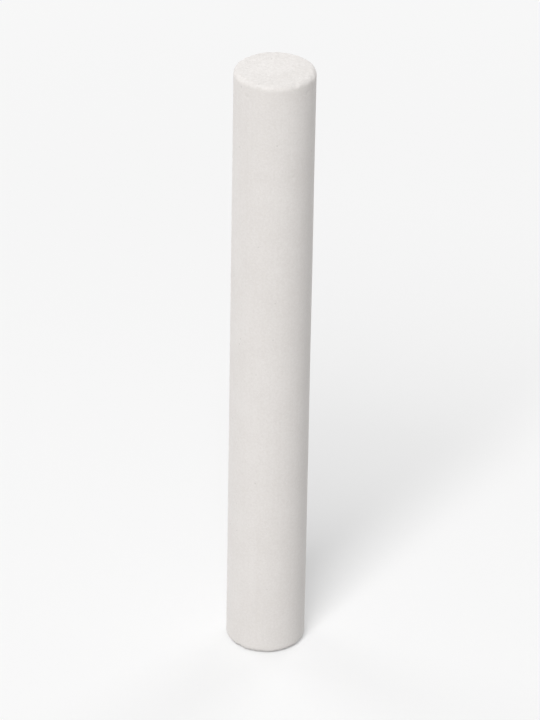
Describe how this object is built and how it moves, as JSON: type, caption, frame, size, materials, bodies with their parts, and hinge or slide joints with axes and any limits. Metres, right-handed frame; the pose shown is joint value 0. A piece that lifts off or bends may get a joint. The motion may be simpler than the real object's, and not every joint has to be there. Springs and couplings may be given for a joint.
{
  "type": "chalk stick",
  "caption": "Straight round stick of white writing chalk with a smooth coated side and flat ends with softly rounded rims, standing on one end.",
  "frame": {"origin": "centre of the lower end face, which the stick stands on", "axes": "+Z runs along the stick, from the lower end face to the upper one; the stick is round, so +X and +Y are free"},
  "size_m": [0.01, 0.01, 0.08],
  "materials": {
    "chalk": "matte"
  },
  "bodies": {
    "root": {"chalk_stick": "chalk"}
  },
  "joints": []
}
